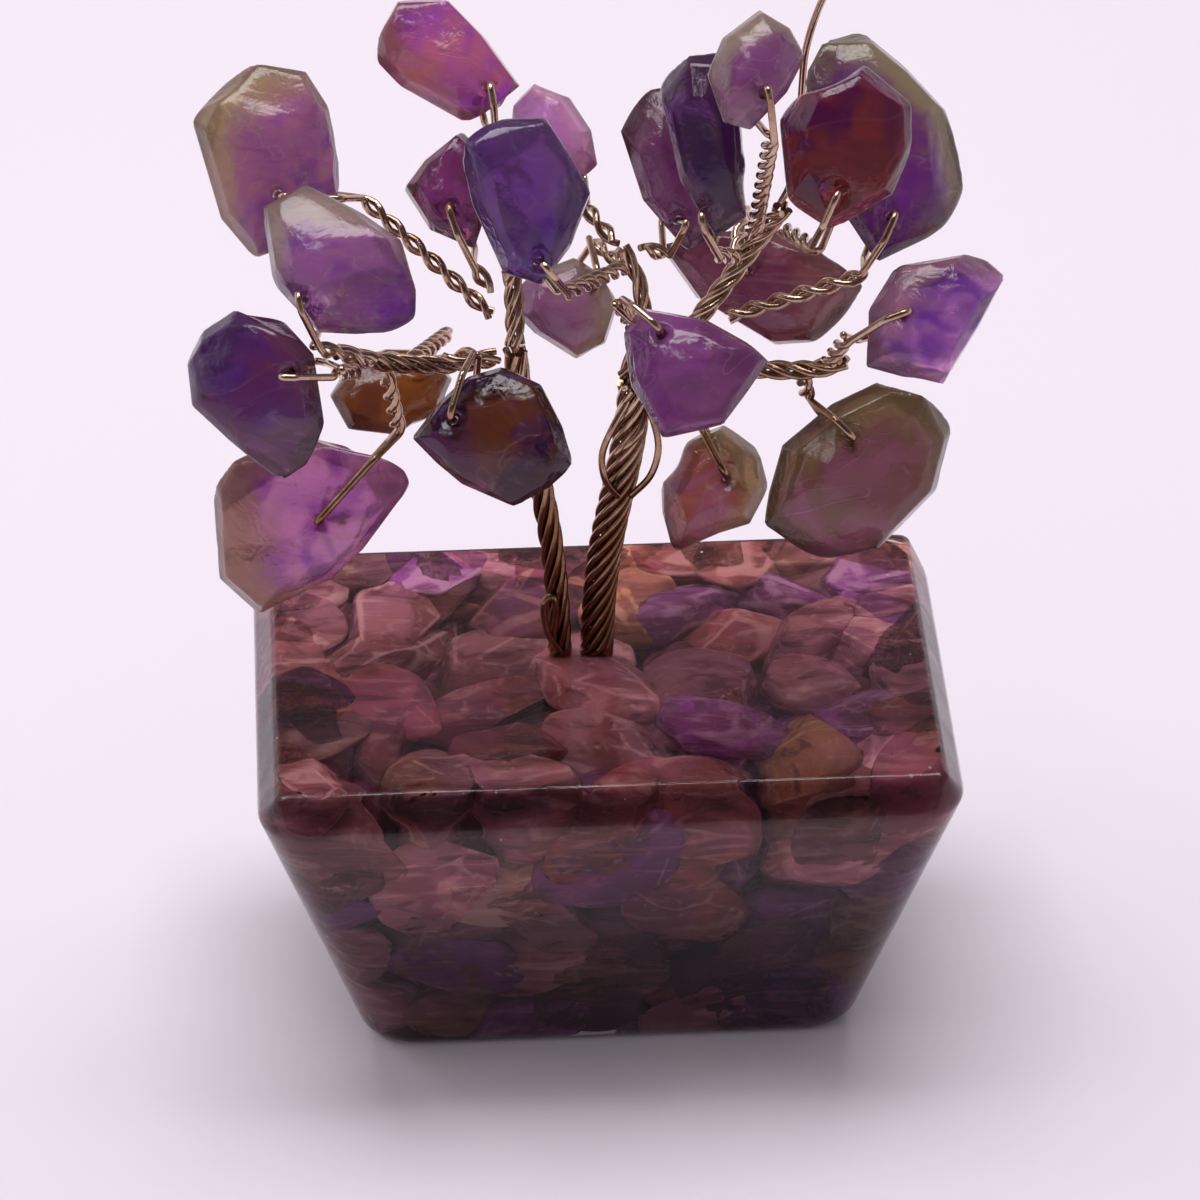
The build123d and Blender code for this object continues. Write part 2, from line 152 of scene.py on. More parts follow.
# Loose wire that stands off the twisted ropes: points of each route, in mm
LOOSE_WIRE = (
    ((-2.4, 1.6, 22.7), (-3.3, 1.2, 24.6), (-3.5, 1.2, 26.6), (-3.0, 1.3, 27.2), (-2.7, 1.3, 26.2),
     (-2.9, 1.5, 23.8), (-2.6, 1.8, 22.7)),
    ((1.3, 0.6, 34.8), (0.4, -0.2, 36.6), (0.2, -0.4, 38.6), (0.9, -0.4, 40.6), (1.9, 0.2, 42.2)),
    ((2.0, 0.4, 35.0), (3.2, -0.2, 36.8), (3.7, -0.3, 38.8), (3.4, -0.2, 40.8), (2.6, 0.3, 42.6)),
    ((1.2, 0.5, 38.0), (1.7, -0.3, 39.0), (2.6, -0.4, 40.2), (3.0, 0.4, 41.4)),
    ((11.2, 0.35, 55.5), (11.9, 0.3, 57.2), (12.3, 0.3, 60.0), (12.5, 0.3, 63.5), (12.7, 0.4, 66.0),
     (13.4, 0.5, 68.6), (14.6, 0.6, 71.4)),
)

# A direction that no loose wire takes, to start its circles from
OFF_ROUTE = (0.3, 1.0, 0.2)

# Lamps: place; width and depth; power in watts; colour
LAMPS = {
    "key": ((0.0, 0.13, 0.62), (0.5, 0.3), 3.0, (1.0, 0.97, 0.98)),
    "streak": ((-0.22, -0.1, 0.5), (0.3, 0.012), 0.22, (1.0, 0.98, 1.0)),
    "side": ((-0.4, 0.1, 0.3), (0.3, 0.3), 0.2, (1.0, 0.97, 0.97)),
}
LAMP_AIM = (0, 0, 0.035)
FLOOR_HALF = 3.0
SENSOR_WIDTH = 36.0


class BlockSettings(bpy.types.PropertyGroup):
    """Clear cast block."""

    foot_inset: FloatProperty(name="Foot inset", description="How far the foot stands in", default=6.3 * MM,
                              unit="LENGTH")
    bevel_reach: FloatProperty(name="Bevel reach", description="Width of the bevels", default=1.3 * MM,
                               unit="LENGTH")
    bevel_drop: FloatProperty(name="Bevel drop", description="Height of the bevels", default=2.3 * MM,
                              unit="LENGTH")
    corner_radius: FloatProperty(name="Corner radius", description="Rounding of the upright corners",
                                 default=3.2 * MM, unit="LENGTH")
    foot_radius: FloatProperty(name="Foot radius", description="Rounding of the foot", default=1.2 * MM,
                               unit="LENGTH")
    edge_radius: FloatProperty(name="Edge radius", description="Softness of the ground edges",
                               default=0.35 * MM, unit="LENGTH")
    tint: FloatVectorProperty(name="Tint", description="Colour of the resin", subtype="COLOR", size=3,
                              default=(0.97, 0.85, 0.83), min=0, max=1)


class BedSettings(bpy.types.PropertyGroup):
    """Stones set in the block."""

    columns: IntProperty(name="Columns", description="Stones across the block", default=7, min=1)
    rows: IntProperty(name="Rows", description="Stones from front to back", default=6, min=1)
    layers: IntProperty(name="Layers", description="Layers of stones", default=5, min=1)
    margin: FloatProperty(name="Margin", description="Resin over the stones", default=0.35 * MM,
                          unit="LENGTH")
    half_length: FloatProperty(name="Half length", description="Half a stone's length", default=5.6 * MM,
                               unit="LENGTH")
    facets: IntProperty(name="Facets", description="Flats on each stone", default=12, min=2)
    dents: IntProperty(name="Dents", description="Hollows on each stone", default=3, min=0)
    bubbles: IntProperty(name="Bubbles", description="Air bubbles under the block's skin", default=70, min=1)
    seed: IntProperty(name="Seed", description="Start of the random draws", default=11)


class ChipSettings(bpy.types.PropertyGroup):
    """Drilled chips of the tree."""

    fullness: FloatProperty(name="Fullness", description="Power of the rounded edge", default=2.25, min=1)
    facets: IntProperty(name="Facets", description="Flats on each chip", default=11, min=2)
    dents: IntProperty(name="Dents", description="Hollows on each chip", default=7, min=0)
    hole_radius: FloatProperty(name="Hole radius", description="Radius of the hole", default=0.33 * MM,
                               unit="LENGTH")
    mouth_reach: FloatProperty(name="Mouth reach", description="Width of the sunk rim round the hole",
                               default=0.45 * MM, unit="LENGTH")
    mouth_depth: FloatProperty(name="Mouth depth", description="Depth of the sunk rim round the hole",
                               default=0.3 * MM, unit="LENGTH")
    round_steps: IntProperty(name="Round steps", description="Steps about the hole", default=150, min=12)
    face_steps: IntProperty(name="Face steps", description="Steps from the hole to the edge", default=36,
                            min=6)
    seed: IntProperty(name="Seed", description="Start of the random draws", default=5)


class WireSettings(bpy.types.PropertyGroup):
    """Twisted wire."""

    thickness: FloatProperty(name="Thickness", description="Thickness of the loose wire", default=0.45 * MM,
                             unit="LENGTH")
    steps: IntProperty(name="Steps", description="Steps along each loose wire", default=40, min=8)
    metal: FloatVectorProperty(name="Metal", description="Bright wire", subtype="COLOR", size=3,
                               default=(0.6, 0.43, 0.32), min=0, max=1)
    tarnish: FloatVectorProperty(name="Tarnish", description="Dull wire", subtype="COLOR", size=3,
                                 default=(0.25, 0.125, 0.06), min=0, max=1)


class StageSettings(bpy.types.PropertyGroup):
    """Floor, light and camera."""

    floor: FloatVectorProperty(name="Floor", description="Colour of the floor", subtype="COLOR", size=3,
                               default=(0.87, 0.81, 0.88), min=0, max=1)
    backdrop: FloatVectorProperty(name="Backdrop", description="Colour behind the object", subtype="COLOR",
                                  size=3, default=(0.88, 0.82, 0.89), min=0, max=1)
    azimuth: FloatProperty(name="Azimuth", description="Camera's turn about the object",
                           default=math.radians(-2.76), subtype="ANGLE")
    elevation: FloatProperty(name="Elevation", description="Camera's height above the floor, as an angle",
                             default=math.radians(33.0), subtype="ANGLE")
    roll: FloatProperty(name="Roll", description="Camera's roll", default=math.radians(-0.5), subtype="ANGLE")
    distance: FloatProperty(name="Distance", description="Camera's distance", default=444.9 * MM,
                            unit="LENGTH")
    centre: FloatProperty(name="Centre", description="Height that the camera turns about", default=22.0 * MM,
                          unit="LENGTH")
    lift: FloatProperty(name="Lift", description="How far over the centre the camera looks",
                        default=4.752 * MM, unit="LENGTH")
    lens: FloatProperty(name="Lens", description="Focal length, in mm", default=210.1, unit="CAMERA")


def linear(code):
    """Linear colour, with alpha, of a written colour such as 8e5fa8."""
    parts = np.array([int(code[i:i + 2], 16) for i in (0, 2, 4)]) / 255
    parts = np.where(parts <= 0.04045, parts / 12.92, ((parts + 0.055) / 1.055) ** 2.4)
    return (*map(float, parts), 1.0)


def unit(vectors):
    """Vectors divided by their lengths."""
    vectors = np.asarray(vectors, float)
    return vectors / np.linalg.norm(vectors, axis=-1, keepdims=True)


def smooth(low, high, values):
    """Smooth step from 0 at low to 1 at high."""
    share = np.clip((values - low) / (high - low), 0, 1)
    return share * share * (3 - 2 * share)


def cad_points(name):
    """Vertices of a CAD node, in mm."""
    mesh = frame["nodes"][name].data
    points = np.empty(len(mesh.vertices) * 3, np.float32)
    mesh.vertices.foreach_get("co", points)
    return points.reshape(-1, 3).astype(float) / MM


def grid_faces(rows, columns, close_rows=False):
    """Quads of a grid that is closed along its columns and, if asked, along its rows."""
    row, column = np.meshgrid(np.arange(rows if close_rows else rows - 1), np.arange(columns), indexing="ij")
    below, right = (row + 1) % rows, (column + 1) % columns
    return np.stack([row * columns + column, row * columns + right, below * columns + right,
                     below * columns + column], -1).reshape(-1, 4)


def end_fans(rows, columns):
    """Triangles that close the first and last rows of a grid on two points that come after it."""
    column = np.arange(columns)
    after = (column + 1) % columns
    count = rows * columns
    last = count - columns
    return np.concatenate([np.stack([after, column, np.full(columns, count)], 1),
                           np.stack([last + column, last + after, np.full(columns, count + 1)], 1)])


def mesh_piece(name, points, quads, triangles, body, nodes, attributes=None):
    """Smooth mesh object from points in mm, riding on a body in place of CAD nodes."""
    mesh = bpy.data.meshes.new(name)
    corners = np.concatenate([np.ravel(quads), np.ravel(triangles)]).astype(np.int32)
    sizes = np.concatenate([np.full(len(quads), 4), np.full(len(triangles), 3)]).astype(np.int32)
    mesh.vertices.add(len(points))
    mesh.vertices.foreach_set("co", (np.asarray(points) * MM).astype(np.float32).ravel())
    mesh.loops.add(len(corners))
    mesh.loops.foreach_set("vertex_index", corners)
    mesh.polygons.add(len(sizes))
    mesh.polygons.foreach_set("loop_start", (np.cumsum(sizes) - sizes).astype(np.int32))
    mesh.polygons.foreach_set("use_smooth", np.ones(len(sizes), bool))
    for key, values in (attributes or {}).items():
        layer = mesh.attributes.new(key, "FLOAT", "POINT")
        layer.data.foreach_set("value", np.asarray(values, np.float32).ravel())
    mesh.update(calc_edges=True)
    mesh.validate()
    piece = bpy.data.objects.new(name, mesh)
    bpy.context.scene.collection.objects.link(piece)
    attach(piece, body)
    if nodes:
        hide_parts(*nodes)
    return piece


def weathered(points, rng, facets, dents, softness, keep=None):
    """Unit-sized stone worn by soft flats and hollows. A flat moves points back along its direction by the
    soft excess of their reach over the flat's distance; a hollow draws points towards the middle by a bell
    curve of their distance from its centre. The stone is then brought back to its full size. keep is the
    share of sideways motion at each point. Also gives how near each point is to the edge between two
    flats."""
    keep = 1.0 if keep is None else keep[:, None]
    sideways = np.array([1.0, 1.0, 0.0])
    freedom = sideways * keep + (1 - sideways)
    moved = points.copy()
    headings, reaches = unit(rng.normal(size=(facets, 3))), rng.uniform(*FLAT_REACH, facets)
    for heading, reach in zip(headings, reaches):
        over = (moved @ heading - reach) / softness
        shift = -softness * np.logaddexp(0, over)[:, None] * heading
        moved += shift * freedom
    centres = unit(rng.normal(size=(dents, 3))) * DENT_REACH
    widths, depths = rng.uniform(*DENT_WIDTH, dents), rng.uniform(*DENT_DEPTH, dents)
    for centre, width, depth in zip(centres, widths, depths):
        bell = np.exp(-np.sum((moved - centre) ** 2, 1) / width ** 2)[:, None]
        moved += -depth * bell * moved * freedom
    second = np.partition(reaches - moved @ headings.T, 1, axis=1)[:, 1]
    low, high = moved.min(0), moved.max(0)
    full = (2 * moved - low - high) / (high - low)
    return moved + (full - moved) * keep, np.exp(-(second / EDGE_WIDTH) ** 2)


def outline_reach(corners, angles):
    """Distance from the middle to a closed outline at each angle: where the ray crosses the side between the
    two corners next to it."""
    turn = np.arctan2(corners[:, 1], corners[:, 0])
    order = np.argsort(turn)
    corners, turn = corners[order], turn[order]
    after = np.searchsorted(turn, angles) % len(turn)
    a, b = corners[after - 1], corners[after]
    side = b - a
    heading = np.stack([np.cos(angles), np.sin(angles)], 1)
    return (a[:, 0] * side[:, 1] - a[:, 1] * side[:, 0]) / (
        heading[:, 0] * side[:, 1] - heading[:, 1] * side[:, 0])


def outline_share(offset, reach):
    """Share of the way from the middle to an outline, at points; reach is the outline's distance at TURNS."""
    x, y = offset[..., 0], offset[..., 1]
    return np.hypot(x, y) / np.interp(np.arctan2(y, x), TURNS, reach, period=2 * np.pi)


def rounded(values, spread):
    """A closed row of values, blurred by a bell curve of the given spread in radians."""
    waves = np.fft.rfft(values)
    return np.fft.irfft(waves * np.exp(-0.5 * (np.arange(len(waves)) * spread) ** 2), len(values))


def chip_solid(local):
    """Middle and half size of a CAD chip, and the corners of its outline and front, from the middle."""
    low, high = local.min(0), local.max(0)
    middle, half = (low + high) / 2, (high - low) / 2
    flat = np.round(local[:, :2] - middle[:2], 3)
    outline = np.unique(flat[np.abs(local[:, 2] - middle[2]) < ON_PLANE], axis=0)
    outline = outline[np.linalg.norm(outline / half[:2], axis=1) > OUTLINE_SHARE]
    in_front = (local[:, 2] > high[2] - ON_PLANE) & (np.hypot(local[:, 0], local[:, 1]) > ON_HOLE)
    return middle, half, outline, np.unique(flat[in_front], axis=0)


def inside_chip(points, keep, middle, half, outline, front):
    """Points brought inside a CAD chip, whose outline shrinks about a pivot from its middle to its faces.
    Where keep is 0 points are sunk to the height that the chip has there; elsewhere they are drawn in
    towards the pivot, to the outline at their height."""
    face_size = TIER_SIZES[-1]
    pivot = (front.mean(0) - face_size * outline.mean(0)) / (1 - face_size)
    offset = points[:, :2] - middle[:2] - pivot
    share = outline_share(offset, outline_reach(outline - pivot, TURNS))
    rise = points[:, 2] - middle[2]
    bound = np.interp(share, TIER_SIZES[::-1], TIER_HEIGHTS[::-1]) * half[2]
    rise += (1 - keep) * (np.clip(rise, -bound, bound) - rise)
    allowed = np.interp(np.abs(rise) / half[2], TIER_HEIGHTS, TIER_SIZES)
    drawn = np.minimum(1, allowed / np.maximum(share, 1e-9)) - 1
    return np.column_stack([points[:, :2] + offset * drawn[:, None], middle[2] + rise])


def chip_surface(name, settings):
    """Drilled chip as a ring-shaped grid. About the hole, rays run out to the edge: their length is the
    distance from the hole to the CAD node's outline, blurred and with faint waves. The height at a point is
    (1 - g^n)^(1/n) of half the thickness, where g is its share of the way from the chip's middle to the edge
    and n the fullness, less a sunk rim round the hole. The front runs from the hole to the edge, the back
    returns, and the hole's wall closes the ring. The worn points are brought inside the CAD node, and none
    comes nearer to the hole's wall than half as far as it started."""
    swivel = SWIVELS[name]
    facing = unit(swivel["axis"])
    across = unit(np.cross((0, 0, 1), facing))
    axes = np.stack([across, np.cross(facing, across), facing])
    hole = np.array(swivel["pos_m"]) / MM
    middle, half, outline, front_corners = chip_solid((cad_points(name) - hole) @ axes.T)

    rng = np.random.default_rng(settings.seed + sum(map(ord, name)))
    ripples = sum(rng.normal() * WAVE_SIZE / k * np.cos(k * TURNS + rng.uniform(0, WAVE_TURN)) for k in WAVES)
    reach = rounded(outline_reach(outline, TURNS), OUTLINE_BLUR) * (1 + ripples)
    rim = np.stack([np.cos(TURNS), np.sin(TURNS)], 1) * reach[:, None] + middle[:2]

    radius = settings.hole_radius / MM
    turns = np.linspace(-np.pi, np.pi, settings.round_steps, endpoint=False)
    steps = np.sin(np.linspace(0, 1, settings.face_steps) * np.pi / 2) ** RING_POWER
    spans = radius + (outline_reach(rim, turns)[None, :] - radius) * steps[:, None]
    flat = np.stack([np.cos(turns) * spans, np.sin(turns) * spans], -1)
    level = np.clip(outline_share(flat - middle[:2], reach), 0, 1)
    level[-1] = 1
    lift = (1 - level ** settings.fullness) ** (1 / settings.fullness) * half[2]
    mouth = 1 - smooth(radius, radius + settings.mouth_reach / MM, spans)
    lift -= settings.mouth_depth / MM * mouth
    front = np.dstack([flat, middle[2] + lift])
    back = np.dstack([flat, middle[2] - lift])[::-1][1:]
    wall = np.stack([front[0] * (1 - s) + back[-1] * s for s in WALL_RINGS])
    rings = np.concatenate([front, back, wall])
    rim_share = np.concatenate([level, level[::-1][1:], level[:1].repeat(len(wall), 0)])

    points = rings.reshape(-1, 3)
    start = points[:, :2]
    span = np.hypot(start[:, 0], start[:, 1])
    keep = smooth(radius + WEAR_BEGINS, radius + WEAR_FULL, span)
    shares, _ = weathered((points - middle) / half, rng, settings.facets, settings.dents, CHIP_SOFTNESS, keep)
    side = np.cos(np.arctan2(shares[:, 1], shares[:, 0]) - math.radians(CHIPS[name][4]))
    points = inside_chip(shares * half + middle, keep, middle, half, outline, front_corners)
    least = (radius + span) / 2
    over_hole = np.hypot(points[:, 0], points[:, 1]) < least
    points[over_hole, :2] = start[over_hole] * (least / span)[over_hole, None]
    quads = grid_faces(len(rings), settings.round_steps, True)[:, ::-1]
    return points @ axes + hole, quads, rim_share.ravel(), side


def block_sections(half_width, half_depth, radius):
    """Closed rounded rectangles, one to each size: each corner is a quarter turn about its own centre, and
    the sides between corners slide from one centre to the next."""
    arc = np.linspace(0, np.pi / 2, CORNER_POINTS)
    run = np.linspace(0, 1, SIDE_POINTS + 2)[1:-1]
    turn, sx, sy = [], [], []
    signs = ((1, 1), (-1, 1), (-1, -1), (1, -1))
    for k, (x, y) in enumerate(signs):
        nx, ny = signs[(k + 1) % 4]
        turn += [arc + k * np.pi / 2, np.full(len(run), (k + 1) * np.pi / 2)]
        sx += [np.full(len(arc), x), x + (nx - x) * run]
        sy += [np.full(len(arc), y), y + (ny - y) * run]
    turn, sx, sy = map(np.concatenate, (turn, sx, sy))
    half_width, half_depth, radius = half_width[:, None], half_depth[:, None], radius[:, None]
    return np.stack([sx * (half_width - radius) + radius * np.cos(turn),
                     sy * (half_depth - radius) + radius * np.sin(turn)], -1)


def block_halves(settings, heights):
    """Half width and half depth of the block at the given heights, and its top: the wall leans out evenly
    from the foot to the bevel, and the bevel leans back in."""
    half, top = (BLOCK_HIGH - BLOCK_LOW)[:2] / 2, BLOCK_HIGH[2]
    bevel_drop = settings.bevel_drop / MM
    bevel_foot = top - bevel_drop
    heights = np.asarray(heights, float)
    inset = np.where(heights < bevel_foot, settings.foot_inset / MM * (1 - heights / bevel_foot),
                     (heights - bevel_foot) * (settings.bevel_reach / MM) / bevel_drop)
    return half[0] - inset, half[1] - inset, top


def block_surface(settings):
    """Block as rings of rounded rectangles from the middle of the underside, up the wall and the bevel, to
    the middle of the top. The foot's rounding and the softened edges are quarter turns of the profile. The
    zone is 0 on the wall, 1 on the bevel and 2 on the top."""
    top = block_halves(settings, 0)[2]
    bevel_foot = top - settings.bevel_drop / MM
    corner, foot, edge = settings.corner_radius / MM, settings.foot_radius / MM, settings.edge_radius / MM
    foot_lean, bevel_ease, zone_blend, top_corners = 0.75, 0.04, 0.05, (0.6, 0.5)
    turn = np.linspace(0, np.pi / 2, ROUND_STEPS)
    walls = np.linspace(foot, bevel_foot - edge, WALL_STEPS)[1:]
    bevels = np.linspace(bevel_foot + edge, top - edge, BEVEL_STEPS)
    heights = np.concatenate([foot * (1 - np.cos(turn)), walls, [bevel_foot], bevels,
                              top - edge + edge * np.sin(turn[1:])])
    insets = np.concatenate([foot * (1 - np.sin(turn)) * foot_lean, np.zeros(len(walls)), [bevel_ease],
                             np.zeros(len(bevels)), edge * (1 - np.cos(turn[1:]))])
    width, depth, _ = block_halves(settings, heights)
    radius = np.interp(heights, (0, bevel_foot, top - edge, top), (corner, corner, *top_corners))
    sections = block_sections(width - insets, depth - insets, radius)
    around = sections.shape[1]
    rings = np.dstack([sections, np.repeat(heights[:, None], around, 1)])
    zone = np.interp(heights, (0, bevel_foot - zone_blend, bevel_foot + zone_blend, top - edge, top),
                     (0, 0, 1, 1, 2))

    shrink = np.linspace(1, 0, CAP_STEPS)[1:-1]
    scale = np.column_stack([shrink, shrink, np.ones(len(shrink))])[:, None]
    rings = np.concatenate([rings[0] * scale[::-1], rings, rings[-1] * scale])
    zone = np.concatenate([np.zeros(len(shrink)), zone, np.full(len(shrink), 2.0)])
    points = np.concatenate([rings.reshape(-1, 3), [(0, 0, 0)], [(0, 0, top)]])
    return (points, grid_faces(len(rings), around), end_fans(len(rings), around),
            np.concatenate([np.repeat(zone, around), [0, 2]]))


def stone_poses(count, settings, rng):
    """Half sizes and turns of stones: longest axes lean less than they swing."""
    shares = np.stack([rng.uniform(low, high, count) for low, high in STONE_SHARES], 1)
    first = unit(rng.normal(size=(count, 3)) * (1, 1, STONE_LEAN))
    second = unit(np.cross(first, rng.normal(size=(count, 3))))
    return settings.half_length / MM * shares, np.stack([first, second, np.cross(first, second)], 1)


def bed_stones(settings, block):
    """Batches of the bed's stones: centres, half sizes, turns and random draws. The first has one stone to
    each cell of a leaning grid that follows the block's walls, each moved a little in its cell, and a row
    along the back of the top; the second has a row along either side of the top."""
    rng = np.random.default_rng(settings.seed)
    counts = settings.columns, settings.rows, settings.layers
    cells = np.stack(np.meshgrid(*map(np.arange, counts), indexing="ij"), -1).reshape(-1, 3)
    shares = (cells + 0.5 + rng.uniform(-CELL_PLAY, CELL_PLAY, cells.shape)) / counts
    top = block_halves(block, 0)[2]
    height = LAYER_MARGIN + shares[:, 2] * (top - 2 * LAYER_MARGIN)
    width, depth, _ = block_halves(block, height)
    centres = np.stack([(shares[:, 0] * 2 - 1) * width, (shares[:, 1] * 2 - 1) * depth, height], 1)

    span, reach, _ = block_halves(block, top)
    row_height = top - ROW_DROP
    run = np.linspace(-BACK_ROW, BACK_ROW, settings.columns + BACK_EXTRA) * span
    back = np.column_stack([run, run * 0 + reach - ROW_INSET, run * 0 + row_height])
    centres = np.concatenate([centres, back])
    run = np.linspace(-SIDE_ROW, SIDE_ROW, settings.rows) * reach
    sides = np.concatenate([np.column_stack([run * 0 + x, run, run * 0 + row_height])
                            for x in (ROW_INSET - span, span - ROW_INSET)])
    later = np.random.default_rng(settings.seed + 1)
    return ((centres, *stone_poses(len(centres), settings, rng), rng),
            (sides, *stone_poses(len(sides), settings, later), later))


def painted_bed_light(points, block):
    """Painted light and shade of the stones at points, and how thick their pale skins are painted. Stones are
    painted darker under the front bevel, by bell curves of the distances to the bevel's middle and to the
    wall, and towards the foot, as painted shade; they are painted lighter in a belt below the bevel; skins
    thicken towards the back of the top, as painted light."""
    width, depth, top = block_halves(block, points[:, 2])
    wall = np.minimum(width - np.abs(points[:, 0]), depth - np.abs(points[:, 1]))
    wall_reach, band_reach, band_place, belt_place, belt_reach = 3.0, 1.1, 0.55, 0.64, 0.13
    by_wall = np.exp(-(wall / wall_reach) ** 2) * (points[:, 1] < 0)
    drop = points[:, 2] - top + block.bevel_drop / MM * band_place
    # Painted shade: stones darkened under the front bevel
    bevel = 0.7 * np.exp(-(drop / band_reach) ** 2) * by_wall
    # Painted light: stones lightened in a belt below the bevel
    painted_light_belt = 0.9 * np.exp(-((points[:, 2] / top - belt_place) / belt_reach) ** 2) * by_wall
    high = smooth(0.5 * top, top, points[:, 2])
    # Painted light: pale skins thickened towards the back of the top
    skin = 1.5 * high * smooth(-0.1, 0.9, points[:, 1] / BLOCK_HIGH[1])
    # Painted shade: stones darker towards the foot, by their share of the height
    return (1 - bevel) * (1 + painted_light_belt) * (0.6 + 0.45 * high), skin


def kept_inside(points, margin, block):
    """Points brought inside the block: into its height, then between its walls, then inside the quarter turns
    of its corners."""
    top = block_halves(block, 0)[2]
    corner = block.corner_radius / MM
    height = np.clip(points[:, 2], margin, top - margin)
    width, depth, _ = block_halves(block, height)
    flat = np.clip(points[:, :2].T, (margin - width, margin - depth), (width - margin, depth - margin)).T
    pivot = np.stack([width, depth], 1) - corner
    past = np.maximum(np.abs(flat) - pivot, 0)
    length = np.linalg.norm(past, axis=1, keepdims=True)
    past *= np.minimum(1, (corner - margin) / np.maximum(length, 1e-9))
    return np.column_stack([np.sign(flat) * (np.minimum(np.abs(flat), pivot) + past), height])


def unit_stone(rows, columns):
    """Points and faces of a full, round stone of size one: rings of latitude between two poles, with the sine
    and cosine of the latitude raised to a power below one."""
    tilt = np.linspace(-np.pi / 2, np.pi / 2, rows + 2)[1:-1, None]
    turn = np.linspace(0, 2 * np.pi, columns, endpoint=False)[None, :]
    power = 0.8
    wide, high = np.cos(tilt) ** power, np.sign(np.sin(tilt)) * np.abs(np.sin(tilt)) ** power
    points = np.stack([wide * np.cos(turn), wide * np.sin(turn), high + 0 * turn], -1).reshape(-1, 3)
    points = np.concatenate([points, [(0, 0, -1), (0, 0, 1)]])
    return points, grid_faces(rows, columns), end_fans(rows, columns)


def repeated(faces, copies, step):
    """Faces of copies of a shape that has step points, one copy after another."""
    return (faces + np.arange(copies)[:, None, None] * step).reshape(-1, faces.shape[1])


def smooth_route(corners, steps):
    """Points along a route that passes through its corners, each stretch a cubic whose slope at a corner is
    half the way from the corner before to the corner after."""
    corners = np.asarray(corners, float)
    padded = np.concatenate([2 * corners[:1] - corners[1:2], corners, 2 * corners[-1:] - corners[-2:-1]])
    along = np.linspace(0, len(corners) - 1, steps)
    start = np.minimum(along.astype(int), len(corners) - 2)
    u = (along - start)[:, None]
    a, b, c, d = (padded[start + k] for k in range(4))
    return 0.5 * (2 * b + (c - a) * u + (2 * a - 5 * b + 4 * c - d) * u ** 2
                  + (3 * b - a - 3 * c + d) * u ** 3)


def wire_surface(route, radius, sides=12):
    """Round wire: a circle square to the route at each point, with a point closing each end."""
    along = unit(np.gradient(route, axis=0))
    across = unit(np.cross(along, OFF_ROUTE))
    turn = np.linspace(0, 2 * np.pi, sides, endpoint=False)[None, :, None]
    circle = across[:, None] * np.cos(turn) + np.cross(along, across)[:, None] * np.sin(turn)
    rings = route[:, None] + radius * circle
    points = np.concatenate([rings.reshape(-1, 3), route[:1], route[-1:]])
    return points, grid_faces(len(route), sides), end_fans(len(route), sides)


def node(tree, kind, settings=None, **inputs):
    """Shader node with its settings and inputs; an input that is a socket is linked, any other is set. i0, i1
    and so on stand for inputs by their number."""
    made = tree.nodes.new(kind)
    for key, value in (settings or {}).items():
        setattr(made, key, value)
    for key, value in inputs.items():
        key = key.replace("_", " ")
        socket = made.inputs[int(key[1:])] if key[0] == "i" and key[1:].isdigit() else made.inputs[key]
        if isinstance(value, bpy.types.NodeSocket):
            tree.links.new(value, socket)
        else:
            socket.default_value = value
    return made


def math_node(tree, operation, *values):
    """Result of a math node."""
    return node(tree, "ShaderNodeMath", {"operation": operation},
                **{f"i{i}": v for i, v in enumerate(values)}).outputs[0]


def times(tree, a, b):
    """Product of two values."""
    return math_node(tree, "MULTIPLY", a, b)


def times_add(tree, a, b, c):
    """Product of two values, plus a third."""
    return math_node(tree, "MULTIPLY_ADD", a, b, c)


def mixed(tree, share, a, b):
    """Colour a going over to b by a share."""
    return node(tree, "ShaderNodeMix", {"data_type": "RGBA"}, i0=share, i6=a, i7=b).outputs[2]


def ramp(tree, value, low, high):
    """Smooth step of a value from low to high."""
    return node(tree, "ShaderNodeMapRange", {"interpolation_type": "SMOOTHSTEP"}, Value=value, From_Min=low,
                From_Max=high).outputs[0]


def noise(tree, place, scale, detail=3.0, warp=0.0):
    """Soft noise at a place in mm."""
    return node(tree, "ShaderNodeTexNoise", None, Vector=place, Scale=scale, Detail=detail,
                Distortion=warp).outputs["Fac"]


def stretched(tree, place, shares):
    """A place with each of its axes multiplied by a share, so that noise there runs long or short."""
    return node(tree, "ShaderNodeVectorMath", {"operation": "MULTIPLY"}, i0=place, i1=shares).outputs[0]


def group(name, inputs, outputs):
    """Empty node group with named sockets; its tree, the input sockets and the output node."""
    tree = bpy.data.node_groups.new(name, "ShaderNodeTree")
    for way, sockets in (("INPUT", inputs), ("OUTPUT", outputs)):
        for key, kind in sockets.items():
            tree.interface.new_socket(key, in_out=way, socket_type=f"NodeSocket{kind}")
    source, sink = tree.nodes.new("NodeGroupInput"), tree.nodes.new("NodeGroupOutput")
    return tree, source.outputs, sink


